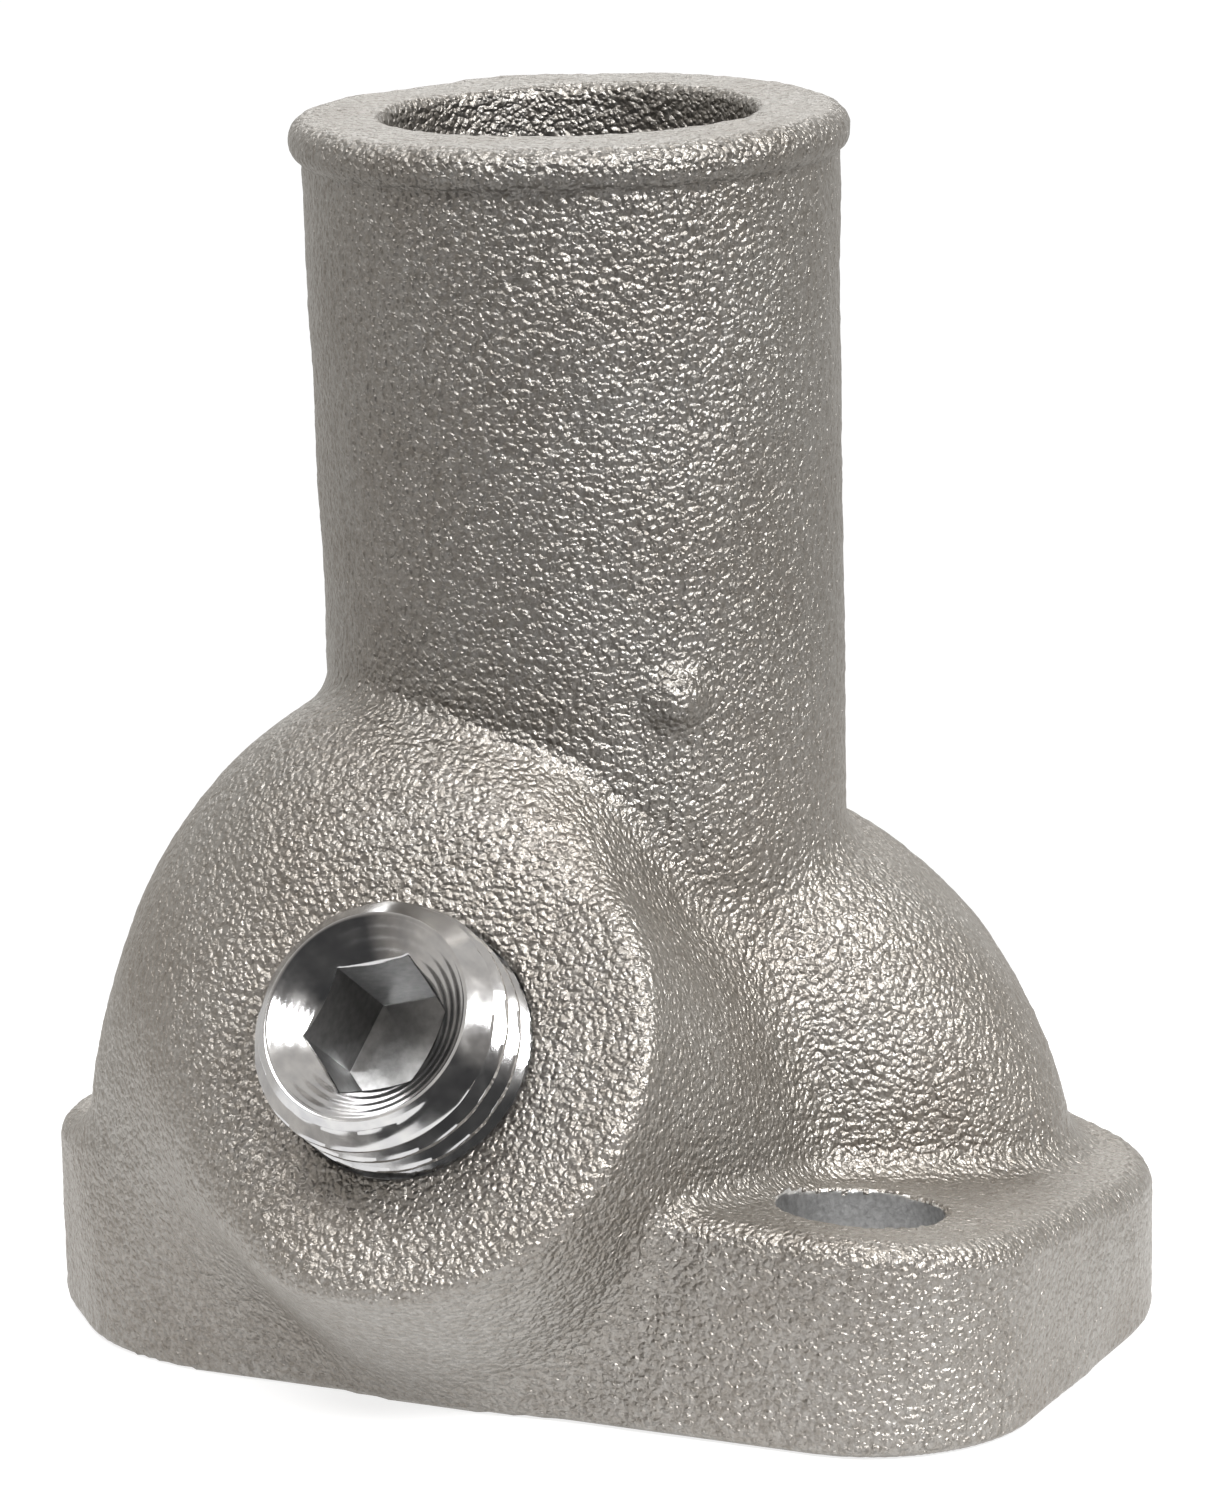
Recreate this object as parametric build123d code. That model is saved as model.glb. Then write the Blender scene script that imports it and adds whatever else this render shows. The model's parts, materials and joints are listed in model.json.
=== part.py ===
"""Stanchion base: a cast socket on a two-bolt foot, with a set screw that locks the stanchion.

Frame: millimetres, +Z up. The origin is where the axis of the socket meets the underside
of the foot. +X runs along the foot and -Y is the side of the set-screw boss. The socket
leans by less than a degree from square to the foot.
"""
import os
from math import cos, radians, sin, tan

from build123d import *

# ---- socket, mm and degrees ----
STANCHION_DIA = 22.2           # tube the socket takes
SOCKET_PLAY = 1.0              # cast clearance across that diameter
SOCKET_OUTER_DIA = 33.5        # at the rim
SOCKET_DRAFT = 0.6             # the tube is slimmer towards the foot
SOCKET_LENGTH = 77.0           # from the underside to the rim
SOCKET_LEAN_LEFT = 0.6         # the socket leans this much towards -X
SOCKET_LEAN_FRONT = 0.65       # and this much towards -Y
BEAD_HEIGHT = 2.8              # bead round the rim
BEAD_OVERHANG = 0.75
BEAD_TOP_ROUND = 1.5
BEAD_UNDER_ROUND = 0.8

# ---- foot, mm and degrees ----
FOOT_LENGTH = 70.6             # along X
FOOT_WIDTH = 50.0              # along Y
FOOT_THICKNESS = 11.1          # at the socket axis
FOOT_SLOPE = 6.2               # the top falls away from the boss
BOLT_CORNER_RADIUS = 10.5      # the two corners that carry a bolt
PLAIN_CORNER_RADIUS = 22.5     # the other two corners
FOOT_TOP_ROUND = 1.8
FOOT_UNDER_CHAMFER = 0.6
BOLT_HOLE_DIA = 10.4           # for a 3/8 in bolt
BOLT_FROM_END = 11.0           # from each end of the foot
BOLT_FROM_SIDE = 10.0          # from its long side

# ---- shoulders: centre and half axes in mm, turn about Z in degrees ----
MAIN_SHOULDER = ((-0.2, 0.6, 7.1), (30.2, 17.2, 27.7), 24.0)
SIDE_SHOULDER = ((-5.6, -5.5, 9.4), (24.3, 17.0, 33.1), 7.5)
SHOULDER_EDGE_ROUND = 9.0      # where a shoulder's flat sides turn into its rim

# ---- boss, mm and degrees ----
BOSS_TILT = 33.3               # its axis rises by this much towards the front
BOSS_AXIS_HEIGHT = 5.2         # where that axis crosses the socket axis
BOSS_REACH = 33.0              # from that crossing to the flat face
BOSS_ROOT = 10.0               # from that crossing to the buried end
BOSS_FACE_DIA = 31.4
BOSS_DRAFT = 8.0
BOSS_EDGE_ROUND = 1.0

# ---- radii where the masses of the casting blend, mm ----
SHOULDER_BLEND = 6.0
BOSS_BLEND = 3.0
FOOT_BLEND = 3.0
TUBE_BLEND = 2.5

# ---- set screw, M16 x 20 with a hexagon socket and a cup point, mm and degrees ----
SCREW_DIA = 16.0
SCREW_PITCH = 2.0
SCREW_LENGTH = 20.0
SCREW_PROUD = 6.6              # how far it stands out of the boss
THREAD_DEPTH = 1.1
THREAD_CREST = 0.3
SCREW_CLEARANCE = 0.05         # all round, in its hole
HEAD_CHAMFER = 1.7
POINT_CHAMFER = 2.3
HEX_ACROSS_FLATS = 8.0
HEX_DEPTH = 8.5
HEX_LEAD_IN = 0.6
HEX_TURN = 15.5                # about the screw's own axis
CUP_DIA = 8.0
CUP_DEPTH = 1.6

# ---- worked out from the above ----
SOCKET_BORE_RADIUS = (STANCHION_DIA + SOCKET_PLAY) / 2
BEAD_RADIUS = SOCKET_OUTER_DIA / 2 + BEAD_OVERHANG
BOLT_X = FOOT_LENGTH / 2 - BOLT_FROM_END
BOLT_Y = FOOT_WIDTH / 2 - BOLT_FROM_SIDE
BOSS_DIRECTION = (0, -cos(radians(BOSS_TILT)), sin(radians(BOSS_TILT)))
SCREW_RADIUS = SCREW_DIA / 2
SCREW_POINT_AT = BOSS_REACH + SCREW_PROUD - SCREW_LENGTH
SCREW_HOLE_FROM = SOCKET_BORE_RADIUS / 2
BURIED_IN_FOOT = FOOT_THICKNESS / 2
SOCKET_TURN = Rot(SOCKET_LEAN_FRONT, -SOCKET_LEAN_LEFT, 0)

OVERSIZE = 200.0               # for tools that reach right past the casting
TINY = 0.02                    # positions closer than this are the same
STANDING = (Align.CENTER, Align.CENTER, Align.MIN)


def sharp_corners(outline, sign):
    """The unrounded corners of the foot's outline where X times Y has this sign."""
    return [
        corner
        for corner in outline.vertices()
        if sign * corner.X * corner.Y > 0
        and abs(corner.X) > FOOT_LENGTH / 2 - TINY
        and abs(corner.Y) > FOOT_WIDTH / 2 - TINY
    ]


def foot_outline():
    """The foot seen from above: two tight corners round the bolts, two wide ones."""
    outline = Rectangle(FOOT_LENGTH, FOOT_WIDTH)
    outline = fillet(sharp_corners(outline, -1), BOLT_CORNER_RADIUS)
    return fillet(sharp_corners(outline, +1), PLAIN_CORNER_RADIUS)


def foot():
    """The wedge-shaped foot with its top edge rounded and its under edge broken."""
    slab = extrude(foot_outline(), FOOT_THICKNESS * 2)
    above = Box(OVERSIZE, OVERSIZE, OVERSIZE, align=STANDING)
    slab -= Pos(0, 0, FOOT_THICKNESS) * Rot(-FOOT_SLOPE, 0, 0) * above
    under_face = slab.faces().sort_by(Axis.Z)[0]
    slab = chamfer(under_face.edges(), FOOT_UNDER_CHAMFER)
    top_face = slab.faces().sort_by(Axis.Z)[-1]
    return fillet(top_face.edges(), FOOT_TOP_ROUND)


def shoulder(centre, half_axes, turn):
    """One shoulder of the casting: an upright oval slab with well rounded edges."""
    along, across, up = half_axes
    slab = extrude(Plane.XZ * Ellipse(along, up), across, both=True)
    slab = fillet(slab.edges().filter_by(GeomType.ELLIPSE), SHOULDER_EDGE_ROUND)
    return Pos(*centre) * Rot(0, 0, turn) * slab


def socket_tube():
    """The upright tube with its slight draft and the bead round its rim."""
    foot_radius = SOCKET_OUTER_DIA / 2 - SOCKET_LENGTH * tan(radians(SOCKET_DRAFT))
    tube_height = SOCKET_LENGTH - BEAD_HEIGHT / 2
    tube = Cone(foot_radius, SOCKET_OUTER_DIA / 2, tube_height, align=STANDING)
    bead = Cylinder(BEAD_RADIUS, BEAD_HEIGHT, align=STANDING)
    bead = fillet(bead.edges().sort_by(Axis.Z)[-1], BEAD_TOP_ROUND)
    bead = fillet(bead.edges().sort_by(Axis.Z)[0], BEAD_UNDER_ROUND)
    return SOCKET_TURN * (tube + Pos(0, 0, SOCKET_LENGTH - BEAD_HEIGHT) * bead)


def boss_plane(distance):
    """A plane square to the boss axis, this far out from the socket axis."""
    centre = Vector(0, 0, BOSS_AXIS_HEIGHT) + Vector(*BOSS_DIRECTION) * distance
    return Plane(origin=centre, x_dir=(1, 0, 0), z_dir=BOSS_DIRECTION)


def boss():
    """The conical boss that carries the set screw, ending in a flat face."""
    length = BOSS_REACH - BOSS_ROOT
    root_radius = BOSS_FACE_DIA / 2 + length * tan(radians(BOSS_DRAFT))
    cone = Cone(root_radius, BOSS_FACE_DIA / 2, length, align=STANDING)
    cone = fillet(cone.edges().sort_by(Axis.Z)[-1], BOSS_EDGE_ROUND)
    return boss_plane(BOSS_ROOT) * cone


def lies_on(point, shape):
    """Whether a point is on the skin of a shape."""
    return any(face.distance_to(point) < TINY for face in shape.faces())


def joined(body, addition, blend, from_height=FOOT_UNDER_CHAMFER):
    """Two masses of the casting as one, with the corner where they meet filled in."""
    whole = (body + addition) & Box(OVERSIZE, OVERSIZE, OVERSIZE, align=STANDING)
    meeting = [
        edge
        for edge in whole.edges()
        if (edge @ 0.5).Z > from_height + TINY
        and lies_on(edge @ 0.5, body)
        and lies_on(edge @ 0.5, addition)
    ]
    return fillet(meeting, blend)


def base_casting():
    """The whole casting: shoulders, boss, foot and tube, then everything drilled in it."""
    body = joined(shoulder(*MAIN_SHOULDER), shoulder(*SIDE_SHOULDER), SHOULDER_BLEND)
    body = joined(body, boss(), BOSS_BLEND, from_height=BURIED_IN_FOOT)
    body = joined(body, foot(), FOOT_BLEND)
    body = joined(body, socket_tube(), TUBE_BLEND)
    body -= SOCKET_TURN * Cylinder(SOCKET_BORE_RADIUS, OVERSIZE)
    body -= boss_plane(SCREW_HOLE_FROM) * Cylinder(
        SCREW_RADIUS + SCREW_CLEARANCE, OVERSIZE, align=STANDING
    )
    for side in (+1, -1):
        body -= Pos(side * BOLT_X, -side * BOLT_Y, 0) * Cylinder(BOLT_HOLE_DIA / 2, OVERSIZE)
    return body


def thread_profile():
    """Half the screw's outline, as (radius, height) pairs from its point to its head."""
    outline = [(0, 0), (SCREW_RADIUS - POINT_CHAMFER, 0), (SCREW_RADIUS, POINT_CHAMFER)]
    turns = int((SCREW_LENGTH - POINT_CHAMFER - HEAD_CHAMFER) / SCREW_PITCH)
    for turn in range(turns):
        start = POINT_CHAMFER + turn * SCREW_PITCH
        outline += [
            (SCREW_RADIUS, start + THREAD_CREST / 2),
            (SCREW_RADIUS - THREAD_DEPTH, start + SCREW_PITCH / 2),
            (SCREW_RADIUS, start + SCREW_PITCH - THREAD_CREST / 2),
        ]
    outline += [
        (SCREW_RADIUS, SCREW_LENGTH - HEAD_CHAMFER),
        (SCREW_RADIUS - HEAD_CHAMFER, SCREW_LENGTH),
        (0, SCREW_LENGTH),
    ]
    return outline


def set_screw():
    """The set screw, its thread shown as a row of rings."""
    face = make_face(Plane.XZ * Polyline(*thread_profile(), close=True))
    screw = revolve(face, Axis.Z)
    hexagon = Rot(0, 0, HEX_TURN) * RegularPolygon(HEX_ACROSS_FLATS / 2, 6, major_radius=False)
    screw -= Pos(0, 0, SCREW_LENGTH - HEX_DEPTH) * extrude(hexagon, HEX_DEPTH)
    across_corners = HEX_ACROSS_FLATS / cos(radians(30))
    screw -= Pos(0, 0, SCREW_LENGTH - HEX_LEAD_IN) * Cone(
        across_corners / 2 - HEX_LEAD_IN, across_corners / 2, HEX_LEAD_IN, align=STANDING
    )
    screw -= Cone(CUP_DIA / 2, 0, CUP_DEPTH, align=STANDING)
    return boss_plane(SCREW_POINT_AT) * screw


os.makedirs("parts", exist_ok=True)
export_step(base_casting(), "parts/base_casting.step")
export_step(set_screw(), "parts/set_screw.step")
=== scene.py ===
"""Looks of the cast stanchion base and its set screw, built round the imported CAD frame.

Lengths are in millimetres until a mesh is written, when MM turns them into metres.
The origin is where the socket's axis meets the underside, +Z is up and -Y is the boss side.
"""

import json
from math import cos, pi, radians, sin, sqrt, tan

import bpy
import numpy as np
from mathutils import Matrix, Vector


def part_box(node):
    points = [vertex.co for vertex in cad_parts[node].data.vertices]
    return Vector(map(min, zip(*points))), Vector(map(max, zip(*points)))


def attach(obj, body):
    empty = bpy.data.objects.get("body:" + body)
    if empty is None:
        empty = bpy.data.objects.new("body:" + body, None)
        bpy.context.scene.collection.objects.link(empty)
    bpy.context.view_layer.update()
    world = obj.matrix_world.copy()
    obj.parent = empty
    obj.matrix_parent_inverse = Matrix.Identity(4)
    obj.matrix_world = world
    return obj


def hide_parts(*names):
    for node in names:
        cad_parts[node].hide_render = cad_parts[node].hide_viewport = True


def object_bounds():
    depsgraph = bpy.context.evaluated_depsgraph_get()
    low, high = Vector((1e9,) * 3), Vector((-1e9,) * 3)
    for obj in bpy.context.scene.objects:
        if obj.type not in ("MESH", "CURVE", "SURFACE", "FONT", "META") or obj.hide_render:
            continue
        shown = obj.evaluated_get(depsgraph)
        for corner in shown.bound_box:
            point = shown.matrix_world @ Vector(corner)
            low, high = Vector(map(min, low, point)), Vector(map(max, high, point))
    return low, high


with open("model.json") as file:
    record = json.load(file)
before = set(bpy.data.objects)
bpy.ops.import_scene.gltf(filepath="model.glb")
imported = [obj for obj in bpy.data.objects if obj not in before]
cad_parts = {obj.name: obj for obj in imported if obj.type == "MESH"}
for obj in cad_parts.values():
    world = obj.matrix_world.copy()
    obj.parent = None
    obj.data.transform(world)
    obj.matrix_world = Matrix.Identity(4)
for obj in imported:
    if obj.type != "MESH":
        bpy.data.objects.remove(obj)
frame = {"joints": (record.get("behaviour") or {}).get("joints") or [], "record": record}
CAD_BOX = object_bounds()
MM = 0.001

# ---------------------------------------------------------------- sizes from the frame
MOUNTS = {mount["name"]: mount for mount in frame["record"]["mounts"]}
TRAVEL = frame["joints"][0]
CASTING_LOW, CASTING_HIGH = (np.array(corner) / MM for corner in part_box("base_casting"))
SOCKET_AXIS = np.array(MOUNTS["stanchion_socket"]["axis"])
SOCKET_LENGTH = MOUNTS["stanchion_socket"]["dims"]["length_mm"]
FOOT_LENGTH = CASTING_HIGH[0] - CASTING_LOW[0]
BORE_RADIUS = MOUNTS["stanchion_socket"]["dims"]["r_mm"]
BOLT_HOLE_RADIUS = MOUNTS["deck_bolts"]["dims"]["hole_r_mm"]
BOLT_CIRCLE_RADIUS = MOUNTS["deck_bolts"]["dims"]["pcd_mm"] / 2
BOSS_DIRECTION = -np.array(TRAVEL["axis"])
BOSS_ACROSS = np.array([1.0, 0.0, 0.0])
BOSS_UP = np.cross(BOSS_DIRECTION, BOSS_ACROSS)

# ---------------------------------------------------------------- the casting, mm
TUBE_RADIUS = 16.75            # at the rim
TUBE_DRAFT = tan(radians(0.6))
BEAD_HEIGHT = 2.8
BEAD_OVERHANG = 0.75
BEAD_ROUND = 1.35
RIM_INNER_ROUND = 0.7
PIP_AZIMUTH = 45.0             # degrees from -Y towards +X
PIP_HEIGHT = 42.7
PIP_ROUND = 2.3
PIP_BURIED = 1.2               # how far its centre is inside the tube's skin
PIP_BLEND = 0.6

FOOT_WIDTH = 50.0              # along Y
FOOT_THICKNESS = 12.0          # at the socket axis
FOOT_SLOPE_BACK = 0.108        # how fast the top falls away from the boss
FOOT_SLOPE_ENDS = 0.039        # and towards both ends
FOOT_RIDGE_ROUND = 4.0         # where those two slopes meet
BOLT_CORNER_RADIUS = 10.5
PLAIN_CORNER_RADIUS = 22.5
BOLT_FROM_SIDE = 10.0
FOOT_TOP_ROUND = 1.6
FOOT_UNDER_ROUND = 0.7

# Each shoulder: centre, half axes, turn, and how square its rim is (2 is round).
MAIN_SHOULDER = ((-0.2, 0.6, 7.1), (30.2, 17.3, 27.7), radians(28.0), 3.0)
SIDE_SHOULDER = ((-7.1, -5.5, 9.4), (22.7, 17.3, 33.1), radians(7.5), 4.0)

BOSS_AXIS_HEIGHT = 5.2         # where the boss axis crosses the socket axis
BOSS_REACH = 33.0              # from that crossing to the flat face
BOSS_ROOT = 10.0               # from that crossing to the buried end
BOSS_FACE_RADIUS = 15.7
BOSS_DRAFT = radians(8.0)
BOSS_EDGE_ROUND = 0.9
BOSS_MERGED_ROUND = 4.0        # the same edge where the boss runs into the side shoulder

BOSS_FACE_HEIGHT = 23.3        # the middle of the flat face
MERGE_TURN = radians(35.0)     # the boss merges up and to the left
MERGE_FROM = 8.0               # right of that middle, where the merging starts
MERGE_TO = -6.0                # left of it, where it is complete

SHOULDER_BLEND = 3.5
BOSS_BLEND = 2.0
BOSS_MERGED_BLEND = 10.0       # on the side where the boss runs into the side shoulder
FOOT_BLEND = 2.0
TUBE_BLEND = 1.3

# ---------------------------------------------------------------- the set screw, mm
SCREW_RADIUS = 8.0
SCREW_PITCH = 2.0
SCREW_LENGTH = 20.0
SCREW_PROUD = 6.6              # how far it stands out of the boss
SCREW_CLEARANCE = 0.05         # all round, in its hole
THREAD_DEPTH = 1.0
THREAD_FLANK = 2.8             # steepness of the flanks
THREAD_ROOT = 0.15             # how much of their rise the flat root takes off
HEAD_CHAMFER = 1.4
POINT_CHAMFER = 2.3
HEX_ACROSS_FLATS = 8.0
HEX_DEPTH = 8.5
HEX_TURN = radians(15.5)
HEX_LIP = 0.06                 # drop of the broken edge at the socket's mouth
HEX_TAPER = 0.01               # how much the socket closes in at each stage down
HEX_FLOOR_CORNER = 0.1         # the bevel round the socket's floor
HEX_FLOOR_DIP = 0.08
DISH_RADIUS = 6.45
DISH_SLOPE = 0.75
DISH_EDGE_HALF = 0.08          # half the width of the dish's broken edge
DISH_GROOVE = 0.012            # depth of the turning marks in the dish
DISH_GROOVES = 11              # how many there would be from its edge to its middle
DISH_SPAN = (0.06, 0.97)       # the part between its edge and the hexagon that is grooved
CUP_RADIUS = 4.0
CUP_DEPTH = 1.6
CUP_EDGE_HALF = 0.1            # half the width of the cup's broken edge
NEARLY_AXIS = 0.02             # radius of the small facet on the screw's own axis
SCREW_HOLE_RADIUS = SCREW_RADIUS + SCREW_CLEARANCE
SCREW_POINT_AT = BOSS_REACH + SCREW_PROUD - SCREW_LENGTH

# ---------------------------------------------------------------- sand grain, mm
GRAINS = (                     # how high, how wide and the seed of each layer
    (0.040, 0.70, 11),
    (0.028, 0.42, 12),
    (0.14, 6.0, 13),
)
NOISE_VALUES = 4096
NOISE_SHIFT = 1000.0           # keeps every lattice place above zero
NOISE_KEYS = (73856093, 19349663, 83492791)     # large primes that scatter the places
DRILLED_WITHIN = 0.12          # this near a drilled hole the skin is smooth and bright
SMOOTH_BELOW = 0.3             # the underside is smooth up to this height

# ---------------------------------------------------------------- mesh density
FINE_STEP = 0.3      # mm
COARSE = 4                     # fine steps in one coarse step
BAND = 3.5                     # coarse steps each side of the skin that are worked out finely
NEARLY_ZERO = 1e-6             # keeps a division away from zero
SHARP_EDGE = radians(35)       # smooth shading stops at edges sharper than this
SCREW_SIDES = 192
SCREW_ROWS = 180
DISH_ROWS = 24

# ---------------------------------------------------------------- studio, mm and degrees
FLOOR_RADIUS = 80.0
FLOOR_SIDES = 96
FLOOR_GAP = 0.05               # between the floor and the foot
FLOOR_GLOW = 0.78
SEEN_WHITE = 1.05              # the surround as the camera sees it
DARK_SIDE = (30.0, -15.0)      # azimuth and elevation of the studio's dark side
SOFT_BOX_HEIGHT = 0.26         # metres
SOFT_BOXES = (                 # azimuth, elevation, distance and width in metres, watts
    ("key_box", 66, 42, 0.70, 0.30, 7.6),
    ("left_box", -20, 60, 0.75, 0.30, 3.0),
    ("back_box", 205, 38, 0.80, 0.40, 1.6),
)

VIEW_AZIMUTH = 25.06
VIEW_ELEVATION = 13.27
VIEW_ROLL = radians(-0.9)
VIEW_DISTANCE = 411.0
VIEW_TARGET = (0.8, 0.4, 35.9)
SENSOR_HEIGHT = 36.0
FOCAL_PER_HEIGHT = 4.30        # focal length over the height of the picture


# ================================================================ solid shapes as distances
def round_union(a, b, radius):
    """Two distances joined, with the inner corner filled to this radius."""
    u = np.maximum(radius - a, 0)
    v = np.maximum(radius - b, 0)
    return np.maximum(radius, np.minimum(a, b)) - np.sqrt(u * u + v * v)


def round_overlap(a, b, radius):
    """What two distances share, with the outer corner rounded to this radius."""
    u = np.maximum(radius + a, 0)
    v = np.maximum(radius + b, 0)
    return np.minimum(-radius, np.maximum(a, b)) + np.sqrt(u * u + v * v)


def shoulder(x, y, z, centre, half_axes, turn, square):
    """Distance to one shoulder: an upright oval slab with well rounded edges."""
    dx, dy, dz = x - centre[0], y - centre[1], z - centre[2]
    along = (dx * cos(turn) + dy * sin(turn)) / half_axes[0]
    across = np.abs(dy * cos(turn) - dx * sin(turn)) / half_axes[1]
    up = dz / half_axes[2]
    disc = np.sqrt(along**2 + up**2)
    size = (disc**square + across**square) ** (1 / square)
    disc_part = disc ** (square - 2)
    slope = np.sqrt(
        (disc_part * along / half_axes[0]) ** 2
        + (across ** (square - 1) / half_axes[1]) ** 2
        + (disc_part * up / half_axes[2]) ** 2
    )
    return (size - 1) * size ** (square - 1) / np.maximum(slope, NEARLY_ZERO)


def foot(x, y, z):
    """Distance to the wedge-shaped foot."""
    corner = np.where(x * y < 0, BOLT_CORNER_RADIUS, PLAIN_CORNER_RADIUS)
    px = np.abs(x) - FOOT_LENGTH / 2 + corner
    py = np.abs(y) - FOOT_WIDTH / 2 + corner
    outside = np.sqrt(np.maximum(px, 0) ** 2 + np.maximum(py, 0) ** 2)
    side = outside + np.minimum(np.maximum(px, py), 0) - corner
    ridge = np.sqrt(x * x + FOOT_RIDGE_ROUND**2)
    top = z - FOOT_THICKNESS + FOOT_SLOPE_ENDS * ridge + FOOT_SLOPE_BACK * y
    slab = round_overlap(side, top, FOOT_TOP_ROUND)
    return round_overlap(slab, -z, FOOT_UNDER_ROUND)


def boss_frame(x, y, z):
    """Distance along the boss axis and out from it."""
    rise = z - BOSS_AXIS_HEIGHT
    along = y * BOSS_DIRECTION[1] + rise * BOSS_DIRECTION[2]
    up = y * BOSS_UP[1] + rise * BOSS_UP[2]
    return along, np.sqrt(x * x + up * up)


def merged_share(x, z):
    """How far the boss has run into the side shoulder: 0 on the right, 1 up and to the left."""
    turned = x * cos(MERGE_TURN) - (z - BOSS_FACE_HEIGHT) * sin(MERGE_TURN)
    share = np.clip((MERGE_FROM - turned) / (MERGE_FROM - MERGE_TO), 0, 1)
    return share * share * (3 - 2 * share)


def boss(x, y, z):
    """Distance to the conical boss with its flat face."""
    along, out = boss_frame(x, y, z)
    wall = (out - BOSS_FACE_RADIUS - (BOSS_REACH - along) * tan(BOSS_DRAFT)) * cos(BOSS_DRAFT)
    edge = BOSS_EDGE_ROUND + (BOSS_MERGED_ROUND - BOSS_EDGE_ROUND) * merged_share(x, z)
    front = round_overlap(wall, along - BOSS_REACH, edge)
    return np.maximum(front, BOSS_ROOT - along)


def socket_frame(x, y, z):
    """Distance along the socket's slightly leaning axis and out from it."""
    along = x * SOCKET_AXIS[0] + y * SOCKET_AXIS[1] + z * SOCKET_AXIS[2]
    out = np.sqrt(np.maximum(x * x + y * y + z * z - along * along, 0))
    return along, out


def tube(x, y, z):
    """Distance to the upright tube and the bead round its rim, without the bore."""
    along, out = socket_frame(x, y, z)
    wall = out - TUBE_RADIUS + (SOCKET_LENGTH - along) * TUBE_DRAFT
    half = BEAD_HEIGHT / 2
    shaft = np.maximum(wall, along - SOCKET_LENGTH + half)
    bead_out = np.maximum(out - TUBE_RADIUS - BEAD_OVERHANG + BEAD_ROUND, 0)
    bead_up = np.maximum(np.abs(along - SOCKET_LENGTH + half) - half + BEAD_ROUND, 0)
    bead = np.sqrt(bead_out**2 + bead_up**2) - BEAD_ROUND
    return np.minimum(shaft, bead)


def pip(x, y, z):
    """Distance to the low round pip cast on the front right of the tube."""
    around = radians(PIP_AZIMUTH)
    depth = TUBE_RADIUS - (SOCKET_LENGTH - PIP_HEIGHT) * TUBE_DRAFT - PIP_BURIED
    middle = PIP_HEIGHT * SOCKET_AXIS + depth * np.array([sin(around), -cos(around), 0.0])
    dx, dy, dz = x - middle[0], y - middle[1], z - middle[2]
    return np.sqrt(dx * dx + dy * dy + dz * dz) - PIP_ROUND


def bolt_centres():
    """The two bolt holes, on one diagonal of the foot."""
    bolt_y = FOOT_WIDTH / 2 - BOLT_FROM_SIDE
    bolt_x = sqrt(BOLT_CIRCLE_RADIUS**2 - bolt_y**2)
    return [(bolt_x, -bolt_y), (-bolt_x, bolt_y)]


def hole_distances(x, y, z):
    """Distance inside each drilled hole: the tapped hole and the two bolt holes."""
    along, out = boss_frame(x, y, z)
    holes = [np.maximum(out - SCREW_HOLE_RADIUS, BORE_RADIUS / 2 - along)]
    for bolt_x, bolt_y in bolt_centres():
        holes.append(np.sqrt((x - bolt_x) ** 2 + (y - bolt_y) ** 2) - BOLT_HOLE_RADIUS)
    return holes


def casting(x, y, z):
    """Distance to the whole casting, drilled and bored."""
    body = round_union(
        shoulder(x, y, z, *MAIN_SHOULDER), shoulder(x, y, z, *SIDE_SHOULDER), SHOULDER_BLEND
    )
    blend = BOSS_BLEND + (BOSS_MERGED_BLEND - BOSS_BLEND) * merged_share(x, z)
    body = round_union(body, boss(x, y, z), blend)
    body = round_union(body, foot(x, y, z), FOOT_BLEND)
    upright = round_union(tube(x, y, z), pip(x, y, z), PIP_BLEND)
    body = round_union(body, upright, TUBE_BLEND)
    body = np.maximum(body, -z)
    bore = socket_frame(x, y, z)[1] - BORE_RADIUS
    body = round_overlap(body, -bore, RIM_INNER_ROUND)
    for hole in hole_distances(x, y, z):
        body = np.maximum(body, -hole)
    return body


# ================================================================ from distances to a mesh
def grid_axes(low, high, step):
    """The three lists of grid places that cover a box."""
    return [np.arange(a, b + step, step, dtype=np.float32) for a, b in zip(low, high)]


def narrow_band(low, high, step):
    """The distance on a fine grid, worked out only near the surface."""
    coarse_axes = grid_axes(low, high + COARSE * step, COARSE * step)
    coarse = casting(*np.meshgrid(*coarse_axes, indexing="ij", sparse=True))
    fine_axes = [
        axis[0] + step * np.arange((len(axis) - 1) * COARSE, dtype=np.float32)
        for axis in coarse_axes
    ]
    field = coarse[:-1, :-1, :-1]
    for axis in range(3):
        field = np.repeat(field, COARSE, axis=axis)
    near = np.abs(field) < COARSE * step * BAND
    i, j, k = np.nonzero(near)
    field[i, j, k] = casting(fine_axes[0][i], fine_axes[1][j], fine_axes[2][k])
    return field, [axis[0] for axis in fine_axes]


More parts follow.
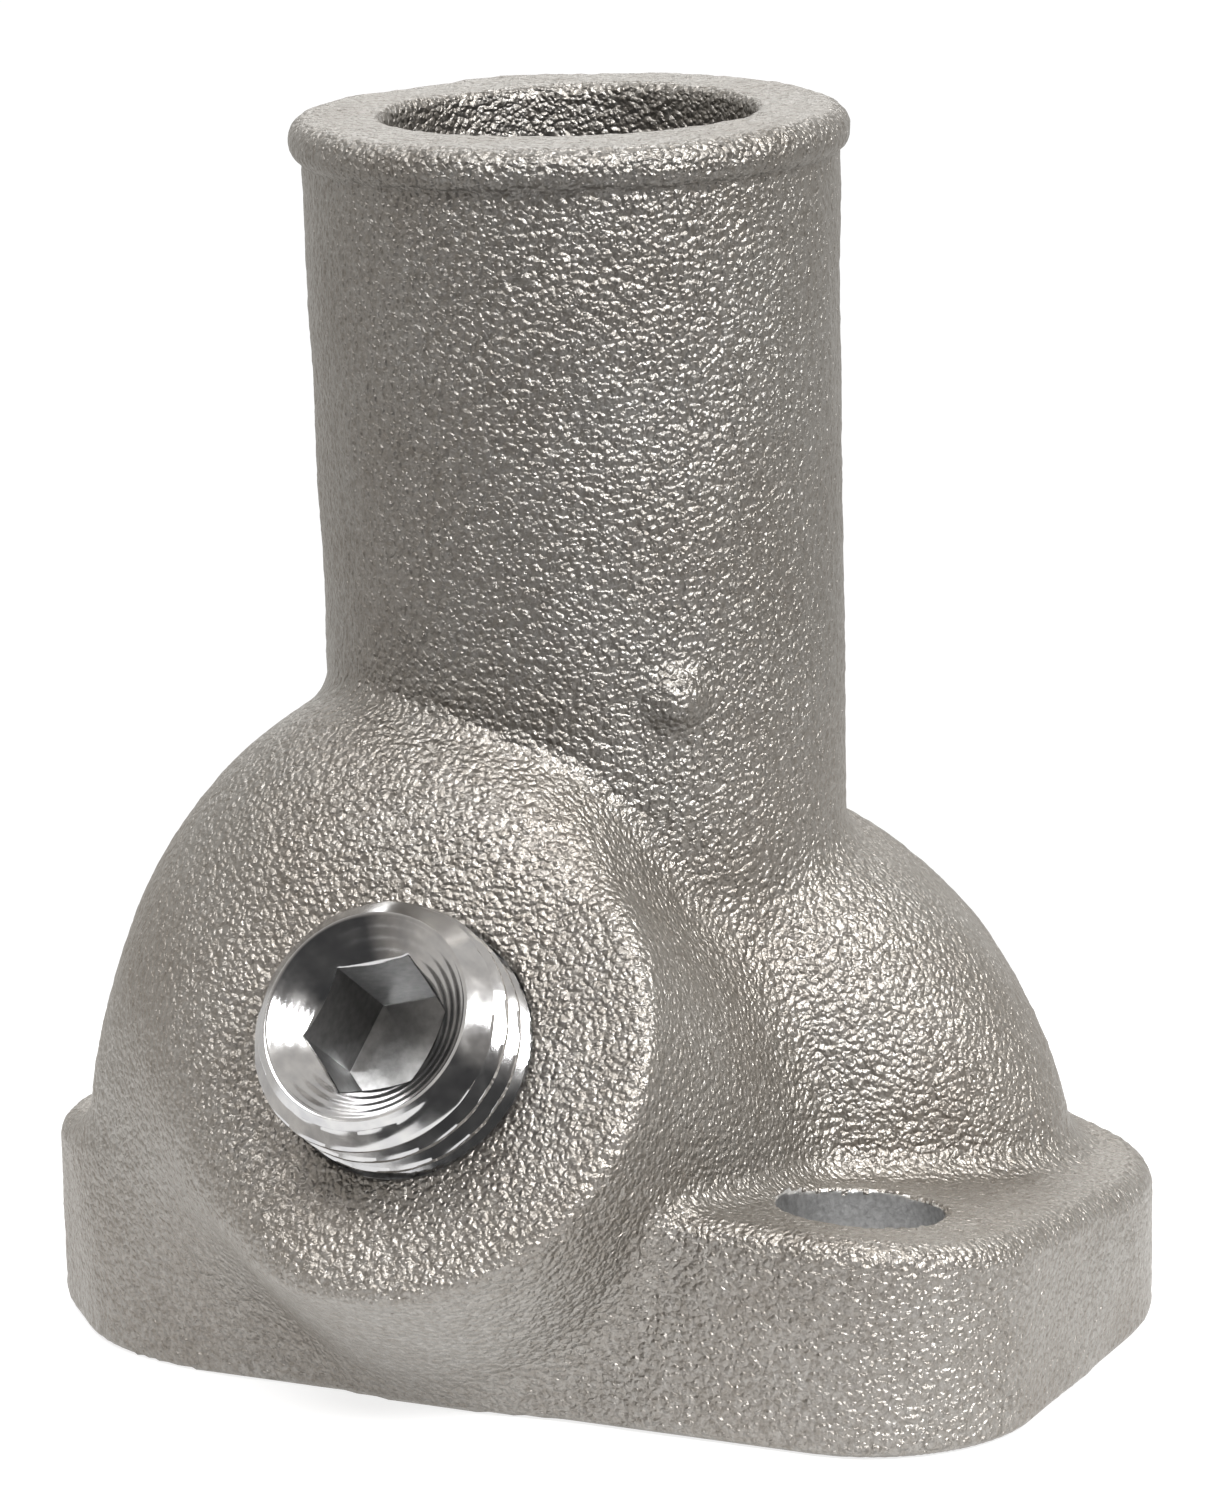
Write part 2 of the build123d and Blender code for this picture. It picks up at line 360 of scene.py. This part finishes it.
def surface_net(field, corner, step):
    """Points and four-sided faces on the zero of a distance grid."""
    shape = field.shape
    strides = np.array([shape[1] * shape[2], shape[2], 1])
    cells, places, quads, flips = [], [], [], []
    for axis in range(3):
        others = [a for a in range(3) if a != axis]
        start = [slice(1, -1)] * 3
        start[axis] = slice(0, -1)
        ahead = [slice(1, -1)] * 3
        ahead[axis] = slice(1, None)
        a, b = field[tuple(start)], field[tuple(ahead)]
        crossing = np.nonzero((a < 0) != (b < 0))
        va, vb = a[crossing], b[crossing]
        index = np.stack(crossing, axis=1)
        index[:, others] += 1
        place = index.astype(np.float64)
        place[:, axis] += va / (va - vb)
        ring = []
        for first, second in ((0, 0), (-1, 0), (-1, -1), (0, -1)):
            cell = index.copy()
            cell[:, others[0]] += first
            cell[:, others[1]] += second
            ring.append(cell @ strides)
        cells += ring
        places += [place] * 4
        quads.append(np.stack(ring, axis=1))
        flips.append((va < 0) == (axis != 1))
    cells = np.concatenate(cells)
    places = np.concatenate(places)
    used, which = np.unique(cells, return_inverse=True)
    count = np.bincount(which)
    points = np.stack([np.bincount(which, places[:, a]) / count for a in range(3)], axis=1)
    quads = np.searchsorted(used, np.concatenate(quads))
    flips = np.concatenate(flips)
    quads[~flips] = quads[~flips][:, ::-1]
    return points * step + np.array(corner), quads


def outward(points, gap=0.05):
    """The casting's outward direction and distance at each point."""
    x, y, z = points.T
    here = casting(x, y, z)
    slope = np.stack(
        [
            casting(x + gap, y, z) - casting(x - gap, y, z),
            casting(x, y + gap, z) - casting(x, y - gap, z),
            casting(x, y, z + gap) - casting(x, y, z - gap),
        ],
        axis=1,
    )
    slope /= np.maximum(np.linalg.norm(slope, axis=1, keepdims=True), NEARLY_ZERO)
    return slope, here


def lattice_noise(points, size, seed):
    """Smooth noise from -1 to 1 whose lumps are about this size."""
    table = np.random.default_rng(seed).uniform(-1, 1, NOISE_VALUES)
    scaled = points / size + NOISE_SHIFT
    base = np.floor(scaled).astype(np.int64)
    part = scaled - base
    part = part * part * part * (part * (part * 6 - 15) + 10)
    total = np.zeros(len(points))
    for corner in np.ndindex(2, 2, 2):
        key = base + np.array(corner)
        spot = (key[:, 0] * NOISE_KEYS[0]) ^ (key[:, 1] * NOISE_KEYS[1]) ^ (key[:, 2] * NOISE_KEYS[2])
        weight = np.prod(np.where(np.array(corner) == 1, part, 1 - part), axis=1)
        total += weight * table[spot % NOISE_VALUES]
    return total


def mesh_object(name, points, faces, materials):
    """A smooth-shaded mesh in metres with these material slots."""
    mesh = bpy.data.meshes.new(name)
    mesh.vertices.add(len(points))
    mesh.vertices.foreach_set("co", (np.asarray(points) * MM).astype(np.float32).ravel())
    corners = np.concatenate([np.asarray(face, dtype=np.int32) for face in faces])
    sizes = np.array([len(face) for face in faces], dtype=np.int32)
    mesh.loops.add(len(corners))
    mesh.loops.foreach_set("vertex_index", corners)
    mesh.polygons.add(len(sizes))
    starts = np.concatenate([[0], np.cumsum(sizes)[:-1]]).astype(np.int32)
    mesh.polygons.foreach_set("loop_start", starts)
    mesh.polygons.foreach_set("use_smooth", np.ones(len(sizes), dtype=bool))
    mesh.update(calc_edges=True)
    for material in materials:
        mesh.materials.append(material)
    piece = bpy.data.objects.new(name, mesh)
    bpy.context.scene.collection.objects.link(piece)
    return piece


# ================================================================ materials
def new_material(name):
    """An empty node material and its shader."""
    material = bpy.data.materials.new(name)
    material.use_nodes = True
    shader = material.node_tree.nodes["Principled BSDF"]
    return material, material.node_tree, shader


def noise(tree, scale, detail=2.0, roughness=0.5):
    """A noise texture in object space; scale is lumps per metre."""
    place = tree.nodes.new("ShaderNodeTexCoord")
    texture = tree.nodes.new("ShaderNodeTexNoise")
    texture.inputs["Scale"].default_value = scale
    texture.inputs["Detail"].default_value = detail
    texture.inputs["Roughness"].default_value = roughness
    tree.links.new(place.outputs["Object"], texture.inputs["Vector"])
    return texture


def ramp(tree, source, stops):
    """A colour ramp over a value; stops are (place, colour)."""
    node = tree.nodes.new("ShaderNodeValToRGB")
    elements = node.color_ramp.elements
    while len(elements) < len(stops):
        elements.new(0.5)
    for element, (place, colour) in zip(elements, stops):
        element.position = place
        element.color = (*colour, 1)
    tree.links.new(source, node.inputs["Fac"])
    return node.outputs["Color"]


def grey(value):
    """A neutral colour."""
    return (value, value, value)


def bump(tree, height, distance, strength=1.0, inverted=False, below=None):
    """A bump over a height, on top of another bump if one is given."""
    node = tree.nodes.new("ShaderNodeBump")
    node.inputs["Strength"].default_value = strength
    node.invert = inverted
    node.inputs["Distance"].default_value = distance
    tree.links.new(height, node.inputs["Height"])
    if below is not None:
        tree.links.new(below, node.inputs["Normal"])
    return node.outputs["Normal"]


def socket_called(sockets, identifier):
    """The socket with this identifier, for a node that gives several one name."""
    return next(socket for socket in sockets if socket.identifier == identifier)


def mixed(tree, a, b, factor, blend):
    """Two colour sockets mixed."""
    node = tree.nodes.new("ShaderNodeMix")
    node.data_type = "RGBA"
    node.blend_type = blend
    socket_called(node.inputs, "Factor_Float").default_value = factor
    tree.links.new(a, socket_called(node.inputs, "A_Color"))
    tree.links.new(b, socket_called(node.inputs, "B_Color"))
    return socket_called(node.outputs, "Result_Color")


def grains(tree, scale):
    """Rounded grains packed side by side; scale is grains per metre."""
    place = tree.nodes.new("ShaderNodeTexCoord")
    warp = noise(tree, scale * 0.8, detail=1.0)
    moved = mixed(tree, place.outputs["Object"], warp.outputs["Color"], 0.4 * MM, "ADD")
    texture = tree.nodes.new("ShaderNodeTexVoronoi")
    texture.feature = "SMOOTH_F1"
    texture.inputs["Scale"].default_value = scale
    texture.inputs["Smoothness"].default_value = 0.35
    tree.links.new(moved, texture.inputs["Vector"])
    return texture


def painted_tube_shade(tree):
    """Painted shade: a tint that makes the tube a little darker than the masses below it, standing in
    for the lesser light that reaches it.
    """
    place = tree.nodes.new("ShaderNodeTexCoord")
    split = tree.nodes.new("ShaderNodeSeparateXYZ")
    tree.links.new(place.outputs["Object"], split.inputs["Vector"])
    height = tree.nodes.new("ShaderNodeMapRange")
    height.inputs["From Min"].default_value = 30 * MM
    height.inputs["From Max"].default_value = 46 * MM
    tree.links.new(split.outputs["Z"], height.inputs["Value"])
    return ramp(tree, height.outputs["Result"], [(0.0, grey(1.0)), (1.0, (0.86, 0.87, 0.88))])


def casting_material():
    """Shot-blasted casting: warm grey metal with a fine glittering grain, and painted shade that
    darkens the tube.
    """
    material, tree, shader = new_material("casting")
    coarse = grains(tree, 2500)
    fine = noise(tree, 5000, detail=2.0)
    speck = noise(tree, 2300, detail=3.0, roughness=0.6)
    cloud = noise(tree, 90, detail=3.0)
    dull, bright = (0.325, 0.303, 0.278), (0.385, 0.37, 0.35)
    tone = ramp(tree, cloud.outputs["Fac"], [(0.3, dull), (0.7, bright)])
    fleck = ramp(tree, speck.outputs["Fac"], [(0.32, (0.74, 0.72, 0.69)), (0.66, grey(1.0))])
    tone = mixed(tree, tone, fleck, 1.0, "MULTIPLY")
    # painted shade: the tube is tinted darker than the masses below it
    colour = mixed(tree, tone, painted_tube_shade(tree), 1.0, "MULTIPLY")
    tree.links.new(colour, shader.inputs["Base Color"])
    shine = ramp(tree, fine.outputs["Fac"], [(0.3, grey(0.34)), (0.7, grey(0.52))])
    tree.links.new(shine, shader.inputs["Roughness"])
    shader.inputs["Metallic"].default_value = 1.0
    rough = bump(tree, coarse.outputs["Distance"], 0.23 * MM, inverted=True)
    rough = bump(tree, fine.outputs["Fac"], 0.10 * MM, below=rough)
    tree.links.new(rough, shader.inputs["Normal"])
    return material


def drilled_material():
    """Bright bare metal where the casting is drilled."""
    material, tree, shader = new_material("drilled")
    scratch = noise(tree, 3000, detail=3.0)
    tone = ramp(tree, scratch.outputs["Fac"], [(0.3, grey(0.55)), (0.7, grey(0.85))])
    tree.links.new(tone, shader.inputs["Base Color"])
    shader.inputs["Metallic"].default_value = 1.0
    shader.inputs["Roughness"].default_value = 0.3
    tree.links.new(bump(tree, scratch.outputs["Fac"], 0.1 * MM, 0.4), shader.inputs["Normal"])
    return material


def screw_material():
    """Turned bright steel."""
    material, tree, shader = new_material("screw_steel")
    streak = noise(tree, 700, detail=4.0)
    dull, bright = (0.44, 0.44, 0.45), (0.58, 0.575, 0.57)
    tone = ramp(tree, streak.outputs["Fac"], [(0.3, dull), (0.7, bright)])
    tree.links.new(tone, shader.inputs["Base Color"])
    shine = ramp(tree, streak.outputs["Fac"], [(0.3, grey(0.09)), (0.7, grey(0.20))])
    tree.links.new(shine, shader.inputs["Roughness"])
    shader.inputs["Metallic"].default_value = 1.0
    tree.links.new(bump(tree, streak.outputs["Fac"], 0.03 * MM, 0.3), shader.inputs["Normal"])
    return material


def socket_shade_material():
    """Painted shade: the inside of the hexagon socket, made darker than the screw's outside to stand
    in for the shade in that recess.
    """
    material, tree, shader = new_material("socket_steel_painted_shade")
    marks = noise(tree, 1800, detail=3.0)
    # painted shade: a darker grey than the screw's turned steel
    tone = ramp(tree, marks.outputs["Fac"], [(0.3, grey(0.34)), (0.7, grey(0.48))])
    tree.links.new(tone, shader.inputs["Base Color"])
    shader.inputs["Metallic"].default_value = 1.0
    shader.inputs["Roughness"].default_value = 0.34
    tree.links.new(bump(tree, marks.outputs["Fac"], 0.05 * MM, 0.3), shader.inputs["Normal"])
    return material


def floor_material():
    """Plain pale studio floor."""
    material, tree, shader = new_material("studio_floor")
    mottle = noise(tree, 8, detail=2.0)
    tone = ramp(tree, mottle.outputs["Fac"], [(0.3, grey(0.29)), (0.7, grey(0.31))])
    tree.links.new(tone, shader.inputs["Base Color"])
    shader.inputs["Roughness"].default_value = 0.9
    shader.inputs["Emission Color"].default_value = (1.0, 1.0, 1.0, 1)
    shader.inputs["Emission Strength"].default_value = FLOOR_GLOW
    return material


# ================================================================ pieces
def build_casting():
    """The casting's skin: the solid's surface with the sand grain raised in it."""
    margin = 2 * COARSE * FINE_STEP
    field, corner = narrow_band(CASTING_LOW - margin, CASTING_HIGH + margin, FINE_STEP)
    points, quads = surface_net(field, corner, FINE_STEP)
    for _ in range(2):
        away, distance = outward(points)
        points -= away * distance[:, None]
    away, _ = outward(points)
    grain = sum(high * lattice_noise(points, wide, seed) for high, wide, seed in GRAINS)
    holes = np.stack(hole_distances(*points.T))
    drilled = np.min(np.abs(holes), axis=0) < DRILLED_WITHIN
    underside = points[:, 2] < SMOOTH_BELOW
    points += away * np.where(drilled | underside, 0.0, grain)[:, None]
    piece = mesh_object("casting", points, quads, [casting_material(), drilled_material()])
    drilled_face = drilled[quads].all(axis=1).astype(np.int32)
    piece.data.polygons.foreach_set("material_index", drilled_face)
    piece.data.update()
    return piece


def hexagon_radius(angle):
    """How far the hexagon's wall is from its centre at each angle; 0 is a corner."""
    off = (angle % (pi / 3)) - pi / 6
    return HEX_ACROSS_FLATS / 2 / np.cos(off)


def thread_radius(angle, height):
    """The outside of the screw: a helix, cut off by the cones at its point and its head."""
    phase = (height / SCREW_PITCH - angle / (2 * pi)) % 1.0
    crest = np.clip((0.5 - np.abs(phase - 0.5)) * THREAD_FLANK - THREAD_ROOT, 0, 1)
    thread = SCREW_RADIUS - THREAD_DEPTH * (1 - crest)
    point_cone = SCREW_RADIUS - POINT_CHAMFER + height
    head_cone = SCREW_RADIUS - HEAD_CHAMFER + (SCREW_LENGTH - height)
    return np.minimum(thread, np.minimum(point_cone, head_cone))


def screw_outside(angle):
    """Rings as (radius, height) from the bottom of the cup to the edge of the dish."""
    rings = [
        (NEARLY_AXIS, CUP_DEPTH),
        (CUP_RADIUS * 0.5, CUP_DEPTH * 0.5),
        (CUP_RADIUS - CUP_EDGE_HALF, CUP_EDGE_HALF),
        (CUP_RADIUS + CUP_EDGE_HALF, 0.0),
        (SCREW_RADIUS - POINT_CHAMFER, 0.0),
    ]
    for row in range(1, SCREW_ROWS):
        height = SCREW_LENGTH * row / SCREW_ROWS
        rings.append((thread_radius(angle, height), height))
    rings.append((SCREW_RADIUS - HEAD_CHAMFER, SCREW_LENGTH))
    rings.append((DISH_RADIUS + DISH_EDGE_HALF, SCREW_LENGTH))
    rings.append((DISH_RADIUS - DISH_EDGE_HALF, SCREW_LENGTH - DISH_SLOPE * DISH_EDGE_HALF))
    return rings


def screw_dish(mouth):
    """Rings down the dish, with its turning marks, to the mouth of the hexagon."""
    rings = []
    for share in np.linspace(*DISH_SPAN, DISH_ROWS):
        radius = DISH_RADIUS + (mouth - DISH_RADIUS) * share
        groove = DISH_GROOVE * np.sin(DISH_GROOVES * 2 * pi * radius / DISH_RADIUS)
        rings.append((radius, SCREW_LENGTH - (DISH_RADIUS - radius) * DISH_SLOPE + groove))
    return rings


def screw_socket(mouth):
    """Rings down the hexagon's walls and in over its floor."""
    lip = SCREW_LENGTH - (DISH_RADIUS - mouth) * DISH_SLOPE
    bottom = SCREW_LENGTH - HEX_DEPTH
    rings = [(mouth - 2 * HEX_TAPER, lip - HEX_LIP)]
    for share in (0.15, 0.5, 0.85):
        rings.append((mouth - 3 * HEX_TAPER, lip + (bottom - lip) * share))
    rings.append((mouth - 4 * HEX_TAPER, bottom + HEX_FLOOR_CORNER / 2))
    rings.append((mouth - 4 * HEX_TAPER - HEX_FLOOR_CORNER, bottom))
    rings.append((mouth / 2, bottom - HEX_FLOOR_DIP / 2))
    rings.append((NEARLY_AXIS, bottom - HEX_FLOOR_DIP))
    return rings


def ring_points(angle, radius, height):
    """The points of one ring; radius and height may differ round it."""
    radius = np.broadcast_to(radius, angle.shape)
    height = np.broadcast_to(height, angle.shape)
    return np.stack([radius * np.cos(angle), radius * np.sin(angle), height], axis=1)


def ring_faces(count):
    """Faces between each ring and the next, then one that closes each end."""
    here = np.arange(SCREW_SIDES)
    ahead = (here + 1) % SCREW_SIDES
    faces = []
    for row in range(count - 1):
        low, high = row * SCREW_SIDES, (row + 1) * SCREW_SIDES
        band = np.stack([low + here, low + ahead, high + ahead, high + here], axis=1)
        faces += [tuple(face) for face in band]
    faces.append(tuple(here[::-1]))
    faces.append(tuple((count - 1) * SCREW_SIDES + here))
    return faces


def on_boss_axis(points):
    """Points in the screw's own frame, turned and moved to its place in the boss."""
    across = points[:, 0] * cos(HEX_TURN) - points[:, 1] * sin(HEX_TURN)
    up = points[:, 0] * sin(HEX_TURN) + points[:, 1] * cos(HEX_TURN)
    return (
        np.array([0, 0, BOSS_AXIS_HEIGHT])
        + across[:, None] * BOSS_ACROSS
        + up[:, None] * BOSS_UP
        + (points[:, 2] + SCREW_POINT_AT)[:, None] * BOSS_DIRECTION
    )


def build_screw():
    """The set screw: a real helix outside, a dished face and a hexagon socket."""
    angle = np.arange(SCREW_SIDES) * 2 * pi / SCREW_SIDES
    mouth = hexagon_radius(angle)
    turned = screw_outside(angle) + screw_dish(mouth)
    rings = turned + screw_socket(mouth)
    points = np.concatenate([ring_points(angle, radius, height) for radius, height in rings])
    faces = ring_faces(len(rings))
    materials = [screw_material(), socket_shade_material()]
    piece = mesh_object("set_screw_turned", on_boss_axis(points), faces, materials)
    slots = np.zeros(len(faces), dtype=np.int32)
    # the socket's walls and floor take the darker grey that stands for the shade inside it
    slots[len(turned) * SCREW_SIDES : (len(rings) - 1) * SCREW_SIDES] = 1
    slots[-1] = 1
    piece.data.polygons.foreach_set("material_index", slots)
    piece.data.set_sharp_from_angle(angle=SHARP_EDGE)
    return piece


# ================================================================ studio
def direction(azimuth, elevation):
    """The unit vector towards these angles in degrees; azimuth 0 is -Y and 90 is +X."""
    around, above = radians(azimuth), radians(elevation)
    return Vector((sin(around) * cos(above), -cos(around) * cos(above), sin(above)))


def build_floor():
    """A round pale floor just under the foot, which ends in the white surround."""
    around = np.arange(FLOOR_SIDES) * 2 * pi / FLOOR_SIDES
    corners = FLOOR_RADIUS * np.stack([np.cos(around), np.sin(around), 0 * around], axis=1)
    floor = mesh_object("floor", corners, [tuple(range(FLOOR_SIDES))], [floor_material()])
    floor.location.z = CAD_BOX[0][2] - FLOOR_GAP * MM


def build_world():
    """A white surround for the picture; the light it gives is dim on one side."""
    world = bpy.data.worlds.new("studio")
    bpy.context.scene.world = world
    bpy.context.scene.view_settings.view_transform = "Standard"
    world.use_nodes = True
    tree = world.node_tree
    seen = tree.nodes["Background"]
    seen.inputs["Color"].default_value = (1.0, 1.0, 1.0, 1)
    seen.inputs["Strength"].default_value = SEEN_WHITE
    place = tree.nodes.new("ShaderNodeTexCoord")
    facing = tree.nodes.new("ShaderNodeVectorMath")
    facing.operation = "DOT_PRODUCT"
    tree.links.new(place.outputs["Generated"], facing.inputs[0])
    facing.inputs[1].default_value = direction(*DARK_SIDE)
    spread = tree.nodes.new("ShaderNodeMapRange")
    spread.inputs["From Min"].default_value = -1.0
    tree.links.new(facing.outputs["Value"], spread.inputs["Value"])
    stops = [
        (0.0, (0.85, 0.84, 0.82)),
        (0.55, (0.72, 0.69, 0.65)),
        (0.78, (0.34, 0.32, 0.30)),
        (0.90, (0.08, 0.08, 0.08)),
    ]
    shade = ramp(tree, spread.outputs["Result"], stops)
    lighting = tree.nodes.new("ShaderNodeBackground")
    tree.links.new(shade, lighting.inputs["Color"])
    path = tree.nodes.new("ShaderNodeLightPath")
    choice = tree.nodes.new("ShaderNodeMixShader")
    tree.links.new(path.outputs["Is Camera Ray"], choice.inputs["Fac"])
    tree.links.new(lighting.outputs["Background"], choice.inputs[1])
    tree.links.new(seen.outputs["Background"], choice.inputs[2])
    tree.links.new(choice.outputs["Shader"], tree.nodes["World Output"].inputs["Surface"])


def soft_box(name, azimuth, elevation, distance, width, power):
    """A rectangular soft light aimed at the middle of the object."""
    light = bpy.data.lights.new(name, "AREA")
    light.shape = "RECTANGLE"
    light.size = width
    light.size_y = SOFT_BOX_HEIGHT
    light.energy = power
    lamp = bpy.data.objects.new(name, light)
    bpy.context.scene.collection.objects.link(lamp)
    away = direction(azimuth, elevation)
    target = Vector((0, 0, SOCKET_LENGTH / 2 * MM))
    lamp.location = target + away * distance
    lamp.rotation_euler = (-away).to_track_quat("-Z", "Y").to_euler()


def build_lights():
    """The key light on the right, and weaker ones on the left and behind."""
    for soft_box_row in SOFT_BOXES:
        soft_box(*soft_box_row)


def build_camera():
    """The camera: a long lens, from above the height of the rim."""
    data = bpy.data.cameras.new("camera")
    data.sensor_fit = "VERTICAL"
    data.sensor_height = SENSOR_HEIGHT
    data.lens = FOCAL_PER_HEIGHT * SENSOR_HEIGHT
    data.clip_start = 0.01
    camera = bpy.data.objects.new("camera", data)
    bpy.context.scene.collection.objects.link(camera)
    backward = direction(VIEW_AZIMUTH, VIEW_ELEVATION)
    level_right = direction(VIEW_AZIMUTH + 90, 0)
    level_up = backward.cross(level_right)
    right = level_right * cos(VIEW_ROLL) + level_up * sin(VIEW_ROLL)
    up = level_up * cos(VIEW_ROLL) - level_right * sin(VIEW_ROLL)
    turn = Matrix((right, up, backward)).transposed().to_4x4()
    place = (Vector(VIEW_TARGET) + backward * VIEW_DISTANCE) * MM
    camera.matrix_world = Matrix.Translation(place) @ turn
    bpy.context.scene.camera = camera


def main():
    """The studio, then the two pieces, each on its own body."""
    build_camera()
    build_floor()
    build_world()
    build_lights()
    casting_piece = build_casting()
    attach(casting_piece, "base")
    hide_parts("base_casting")
    screw_piece = build_screw()
    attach(screw_piece, "screw")
    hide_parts("set_screw")


main()
